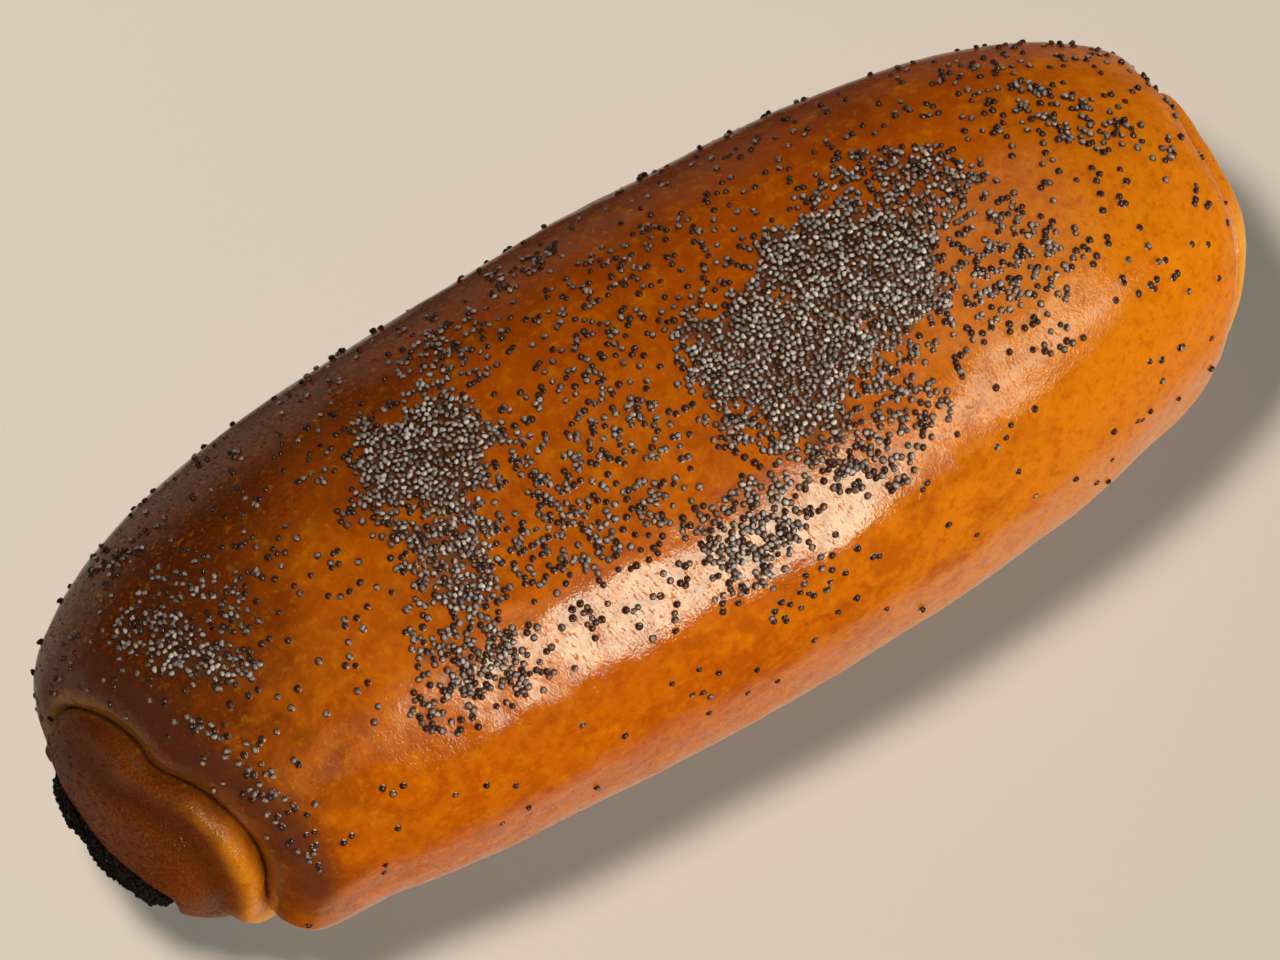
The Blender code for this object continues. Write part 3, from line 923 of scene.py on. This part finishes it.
def crustMaterial():
    made, tree, shader = newMaterial("bakedCrust")
    where, fromFold = ownPlace(tree), markOf(tree, "foldDistance")
    along, across, height = addNode(tree, "ShaderNodeSeparateXYZ", {"Vector": where}).outputs
    times, plus = partial(maths, tree, "MULTIPLY"), partial(maths, tree, "ADD")
    level, grain = partial(ramp, tree), partial(unevenGrain, tree, where)

    def band(source, low, high, soft):
        # 1 between two values, softly 0 outside them
        return times(level(source, low - soft, low + soft), level(source, high + soft, high - soft))

    mottle = grain(60, 5.0, 0.62)
    blotch = grain(150, 4.0, 0.65, 0.5)
    speckle = grain(620, 4.0, 0.68)
    leftEnd = level(along, -0.040, -0.060)
    rightEnd = level(along, 0.040, 0.060)
    rightWards = level(along, -0.09, 0.02, 0.35, 1.0)
    corner = plus(times(along, -0.45), times(across, 0.95))
    fromEnd = plus(along, times(across, -0.20), times(mottle, -0.014), times(plus(blotch, -0.5), -0.034))
    wander = plus(fromFold, times(plus(mottle, -0.5), 0.005))
    inner = times(level(fromFold, -0.0002, -0.0012), leftEnd)
    ridgeLit = times(level(across, -0.012, -0.034, 0.05, 1.0), level(blotch, 0.62, 0.42, 0.50, 0.90))
    onLip = times(band(wander, 0.0040, 0.0115, 0.0030), leftEnd)
    underLip = times(band(fromFold, 0.0, 0.0032, 0.0012), leftEnd)
    rightInner = times(level(fromFold, -0.0004, -0.0030), rightEnd)
    reddish = grain(150, 5.0, 0.66, 0.6, (0.42, 0.64, 0.0, 0.54))
    # each layer's share and its colour, laid on one after the other
    layers = (
        # golden on the near flank, browner over the top
        (level(plus(across, times(mottle, 0.030)), -0.002, 0.050, 0.04, 0.80), "brown"),
        # the right end is paler: partly less baked, partly painted light
        (level(plus(along, times(across, -1.4), times(mottle, 0.020)), 0.050, 0.125, 0.0, 0.50), "pale"),
        # reddish and lighter patches
        (times(reddish, level(along, 0.03, 0.08, 1.0, 0.35)), "brown"),
        (grain(260, 4.0, 0.6, 0.0, (0.48, 0.72, 0.0, 0.40)), "goldenLight"),
        # darkest towards the far left corner, and painted shade along the far side, which turns away from the
        # light
        (level(plus(corner, times(mottle, 0.022)), 0.031, 0.070, 0.0, 0.92), "dark"),
        (level(plus(across, times(mottle, 0.020)), 0.028, 0.053, 0.0, 0.60), "dark"),
        # the left end bakes dark, most of all high up
        (times(level(fromEnd, -0.066, -0.104, 0.0, 0.86), level(height, 0.020, 0.042, 0.50, 1.0)), "dark"),
        # painted light low down and by the base: the floor's bounce and its reflection in the glaze
        (times(level(plus(height, times(mottle, 0.010)), 0.036, 0.008, 0.0, 0.85), rightWards), "pale"),
        (times(level(plus(height, times(mottle, 0.006)), 0.018, 0.004, 0.0, 0.90), rightWards), "paintedGlow"),
        # fine brown freckles, and light gold specks that are painted glints
        (level(speckle, 0.49, 0.70, 0.0, 0.50), "brown"),
        (level(speckle, 0.47, 0.28, 0.0, 0.34), "goldenLight"),
        # painted shade: the crust is darkened between seeds that lie close together
        (level(markOf(tree, "seedShare"), 0.62, 1.00, 0.0, 0.85), "shadeBetweenSeeds"),
        # the left inner turn: brown and grainy, with orange painted light on its ridge and painted shade,
        # darkest in the hollow
        (times(inner, 0.88), "innerTurn"),
        (times(inner, grain(800, 4.0, 0.7, 0.0, (0.46, 0.64, 0.0, 0.62))), "dark"),
        (times(inner, grain(1900, 2.0, 0.6, 0.0, (0.50, 0.68, 0.0, 0.26))), "golden"),
        (times(inner, grain(1500, 2.0, 0.6, 0.0, (0.50, 0.32, 0.0, 0.44))), "dark"),
        (times(inner, level(across, -0.020, -0.038, 0.0, 0.42)), "golden"),
        # painted highlight: orange along the ridge beside the crease, where it faces the light
        (times(band(wander, -0.0048, -0.0008, 0.0014), leftEnd, ridgeLit), "ridge"),
        # painted shade on the inner turn's far part and in the hollow behind the ridge
        (times(inner, level(across, -0.008, 0.006), 0.66), "dark"),
        (times(band(wander, -0.0110, -0.0066, 0.0024), leftEnd, 0.72), "dark"),
        # the lip's crest is darkest of all: dark-baked, with a purple tint that is a painted sheen
        (times(onLip, level(height, 0.022, 0.038, 0.0, 0.78)), "darkBakedSheen"),
        # dough that the fold has kept from browning: olive under the lip, yellow low down
        (times(underLip, level(across, -0.016, 0.006, 0.30, 0.75)), "olive"),
        (times(band(fromFold, -0.0030, 0.0026, 0.0012), level(height, 0.026, 0.012), leftEnd), "lessBaked"),
        # the right inner turn is orange, and pale yellow only towards the near side
        (times(rightInner, level(across, -0.010, -0.020, 0.05, 0.92)), "lessBaked"),
        # painted highlight: a pale rim along the right lip's edge
        (times(band(fromFold, 0.0004, 0.0026, 0.0009), rightEnd, 0.85), "paintedGlow"),
    )
    colour = crustFinish["golden"]
    for share, shade in layers:
        colour = mixColour(tree, share, colour, crustFinish[shade])

    # the egg wash is uneven, and the ends inside the folds got less of it
    washed = level(fromFold, 0.0010, -0.0030, *crustFinish["glaze"])
    shine = grain(460, 3.0, 0.6, 0.0, (0.34, 0.60, 0.78, 1.0))
    # fine wrinkles, thin streaks across the loaf, and pebbles where the egg wash is thin
    drawnOut = addNode(tree, "ShaderNodeMapping", {
        "Vector": where, "Scale": crustFinish["streakStretch"],
        "Rotation": (0.0, 0.0, crustFinish["streakTurn"]),
    }, vector_type="TEXTURE").outputs[0]
    patchy = grain(110, 2.0, 0.5, 0.0, (0.35, 0.65, 0.55, 1.0))
    wrinkle = times(grain(crustFinish["wrinkleScale"], 1.0, 0.5, 0.9), patchy)
    streak = times(unevenGrain(tree, drawnOut, crustFinish["streakScale"], 3.0, 0.6, 0.8), patchy)
    pebble = times(grain(crustFinish["pebbleScale"], 1.0, 0.5), level(fromFold, 0.0010, -0.0030, 1.0, 16.0))
    pits = unevenGrain(tree, drawnOut, crustFinish["pitScale"], 2.0, 0.5, 0.0, (0.575, 0.665, 1.0, 0.10))
    normal = None
    for lumps, high in ((wrinkle, "wrinkleHeight"), (streak, "streakHeight"), (pebble, "pebbleHeight")):
        normal = bumped(tree, lumps, crustFinish[high], under=normal)
    setInputs(tree, shader, {
        "Base Color": colour,
        "Roughness": crustFinish["roughness"],
        "Specular IOR Level": 0.0,
        "Coat Weight": times(washed, shine, pits),
        "Coat Roughness": crustFinish["glazeRoughness"],
        "Coat IOR": crustFinish["glazeIor"],
        "Normal": normal,
        "Coat Normal": normal,
    })
    return made


pasteFinish = {
    "dark": (0.004, 0.003, 0.0025),
    "seed": (0.022, 0.017, 0.014),
    "roughness": 0.40,
    "seedScale": 900,
    "seedHeight": 0.0003,
}


def pasteMaterial():
    made, tree, shader = newMaterial("poppyPaste")
    where = ownPlace(tree)
    net = placed(tree, "pittedNet", where, {
        "Scale": pasteFinish["seedScale"], "From Min": 0.45, "From Max": 0.10,
    })
    share = maths(tree, "MULTIPLY", net["Middle"], unevenGrain(tree, where, 300, levels=(0.4, 0.7, 0.0, 1.0)))
    setInputs(tree, shader, {
        "Base Color": mixColour(tree, share, pasteFinish["dark"], pasteFinish["seed"]),
        "Roughness": pasteFinish["roughness"],
        "Normal": bumped(tree, net["Depth"], pasteFinish["seedHeight"], 0.7, True),
    })
    return made


seedCoat = {
    "grainScale": 2600,
    "grainShare": 0.3,
    "pitScale": 7000,
    "pitHeight": 0.00003,
    "sheenTint": (1.0, 0.82, 0.96),
}


def seedMaterial(name, kind):
    made, tree, shader = newMaterial(name)
    where, upper = ownPlace(tree), markOf(tree, "seedUpper")
    share = ramp(tree, markOf(tree, "seedTone"), *kind["tones"], 0.25, 0.75)
    grain = unevenGrain(tree, where, seedCoat["grainScale"], 2.0)
    share = maths(tree, "ADD", share, maths(tree, "MULTIPLY", grain, seedCoat["grainShare"]))
    # painted highlight and painted shade: the seed's upper side is painted pale, its lower side dark
    share = maths(tree, "MULTIPLY", share, ramp(tree, upper, 0.45, 0.92))
    colour = mixColour(tree, share, kind["low"], kind["high"])
    # the seed's coat is netted with tiny pits
    net = placed(tree, "pittedNet", where, {"Scale": seedCoat["pitScale"], "From Max": 1.0})
    # the glaze ring takes the foot colour: glaze, darkened as painted contact shade round each seed
    setInputs(tree, shader, {
        "Base Color": mixColour(tree, ramp(tree, upper, -0.2, -0.8), colour, kind["foot"]),
        "Roughness": ramp(tree, upper, -0.2, -0.8, kind["roughness"], 0.10),
        "Specular IOR Level": kind["gloss"],
        "Specular Tint": seedCoat["sheenTint"],
        "Normal": bumped(tree, net["Depth"], seedCoat["pitHeight"], 0.5),
    })
    return made


seedPieces = scatterSeeds()
crust.data.materials.append(crustMaterial())
paste.data.materials.append(pasteMaterial())
print("finishes laid on")

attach(crust, "root")
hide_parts("dough")
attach(paste, "root")
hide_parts("poppy_filling")
for seeds in seedPieces:
    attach(seeds, "root")

# Studio: a pale floor, soft lights, a long lens from above
studio = {
    "turn": 31.4,  # degrees the camera is swung round, and tipped down
    "tip": 70.0,
    "aim": (-0.0016, -0.0009, 0.0314),
    "distance": 1.8,
    "lens": 292.6,
    "floorColour": (0.309, 0.2505, 0.199),
    "floorHalf": 4.0,
    "air": (1.0, 0.83, 0.64),
    "nearAir": 0.010,  # how bright the air is before the loaf, and low behind its far left
    "farAir": 0.34,
    "underRight": 0.24,  # light mirrored low on the right end, and along the near side's foot
    "underNear": 0.46,
    "floorFill": 2.12,
    "floorFillColour": (0.85, 1.03, 1.10),
}
# Each soft light: turn round from +X, height, distance, half angles across and up, roll,
# brightness, colour, and whether it is mirrored in the glaze, lights the loaf or the floor
softLights = {
    "windowMirror": (-80, 37, 1.4, 7.5, 18.5, 0, 11.0, (0.78, 1.0, 0.77), "mirror"),
    "sideMirror": (-53, 36, 1.4, 11, 8, 24, 4.8, (0.78, 1.0, 0.77), "mirror"),
    "rightMirror": (-40, 48, 1.4, 7, 5, 24, 3.4, (0.90, 1.0, 0.60), "mirror"),
    "upperMirror": (-80, 61, 1.4, 9, 5.5, 0, 0.6, (0.78, 1.0, 0.77), "mirror"),
    "leftMirror": (-101, 45, 1.4, 10, 13, 0, 0.5, (0.85, 1.0, 0.70), "mirror"),
    "glowMirror": (2, 60, 1.5, 24, 11, 0, 0.50, (1.0, 0.95, 0.70), "mirror"),
    "leftFill": (-125, 14, 1.4, 14, 12, 0, 1.3, (1.0, 0.96, 0.90), "fill"),
    "frontFill": (-82, 22, 1.4, 14, 20, 0, 1.55, (1.0, 0.96, 0.90), "fill"),
    "skyFill": (-90, 78, 1.6, 22, 22, 0, 3.2, (1.0, 0.97, 0.90), "fill"),
    "rightFill": (0, 10, 1.4, 20, 14, 0, 3.8, (1.0, 0.96, 0.90), "fill"),
    "lowFill": (-65, 5, 1.4, 24, 5, 0, 6.5, (1.0, 0.96, 0.90), "fill"),
    "farFill": (110, 45, 1.6, 20, 20, 0, 0.2, (1.0, 0.96, 0.92), "fill"),
    "shadowLight": (143, 73.5, 1.5, 5.6, 5.6, 0, 139.0, (1.01, 1.0, 1.0), "floor"),
}


def pointing(turn, height):
    # a direction by its turn round from +X and its height, in degrees
    turn, height = math.radians(turn), math.radians(height)
    return Vector((math.cos(height) * math.cos(turn), math.cos(height) * math.sin(turn), math.sin(height)))


def addLamp(name, data, turn, height, distance, roll, purpose, lit):
    lamp = bpy.data.objects.new(name, data)
    toward = pointing(turn, height)
    lamp.location = toward * distance
    facing = toward.to_track_quat("Z", "Y")
    lamp.rotation_euler = (facing @ Quaternion((0, 0, 1), math.radians(roll))).to_euler()
    lamp.visible_glossy = purpose == "mirror"
    lamp.visible_diffuse = purpose != "mirror"
    lamp.light_linking.receiver_collection = lit["floor" if purpose == "floor" else "loaf"]
    bpy.context.scene.collection.objects.link(lamp)


def makeFloor():
    half = studio["floorHalf"]
    corners = np.array([(-half, -half, 0), (half, -half, 0), (half, half, 0), (-half, half, 0)])
    floor = meshPiece("studioFloor", corners, [(0, 1, 2, 3)])
    made, tree, shader = newMaterial("paleFloor")
    look = {"Base Color": studio["floorColour"], "Roughness": 0.9, "Specular IOR Level": 0.1}
    setInputs(tree, shader, look)
    floor.data.materials.append(made)
    floor.visible_glossy = False  # the glaze mirrors the studio's air, not the floor
    return floor


def makeLights(lit):
    for name, (turn, height, distance, wide, tall, roll, bright, colour, purpose) in softLights.items():
        data = bpy.data.lights.new(name, "AREA")
        data.shape = "RECTANGLE"
        data.size = 2 * distance * math.tan(math.radians(wide))
        data.size_y = 2 * distance * math.tan(math.radians(tall))
        data.energy = bright * math.pi * data.size * data.size_y
        data.color = colour
        addLamp(name, data, turn, height, distance, roll, purpose, lit)
    fill = bpy.data.lights.new("floorFill", "SUN")
    fill.energy = studio["floorFill"]
    fill.color = studio["floorFillColour"]
    fill.use_shadow = False
    addLamp("floorFill", fill, 0, 90, 1.0, 0, "floor", lit)


def makeAir():
    # dim air, brighter low behind the far left, low on the right and along the near side's foot
    world = bpy.data.worlds.new("studioAir")
    world.use_nodes = True
    tree = world.node_tree
    times, plus, level = partial(maths, tree, "MULTIPLY"), partial(maths, tree, "ADD"), partial(ramp, tree)
    direction = addNode(tree, "ShaderNodeTexCoord").outputs["Generated"]
    x, y, z = addNode(tree, "ShaderNodeSeparateXYZ", {"Vector": direction}).outputs
    farLeft = level(plus(y, times(x, -1.2)), 0.42, 1.0)
    far = times(farLeft, level(z, 0.26, -0.10), studio["farAir"] - studio["nearAir"])
    right = times(level(x, 0.16, 0.66), level(z, -0.08, -0.35), studio["underRight"])
    foot = times(level(z, -0.68, -0.92, 0.0, studio["underNear"]), level(x, -0.25, 0.10))
    strength = plus(far, right, foot, studio["nearAir"])
    setInputs(tree, tree.nodes["Background"], {"Color": studio["air"], "Strength": strength})
    bpy.context.scene.world = world
    bpy.context.scene.view_settings.view_transform = "Standard"


def makeCamera():
    lens = bpy.data.cameras.new("camera")
    lens.lens = studio["lens"]
    lens.sensor_width = 36
    lens.clip_end = 20
    camera = bpy.data.objects.new("camera", lens)
    forward = pointing(90 - studio["turn"], -studio["tip"])
    camera.location = Vector(studio["aim"]) - forward * studio["distance"]
    camera.rotation_euler = forward.to_track_quat("-Z", "Y").to_euler()
    bpy.context.scene.collection.objects.link(camera)
    bpy.context.scene.camera = camera


lit = {"loaf": bpy.data.collections.new("litLoaf"), "floor": bpy.data.collections.new("litFloor")}
lit["floor"].objects.link(makeFloor())
for piece in (crust, paste, *seedPieces):
    lit["loaf"].objects.link(piece)
makeLights(lit)
makeAir()
makeCamera()
print("studio set")
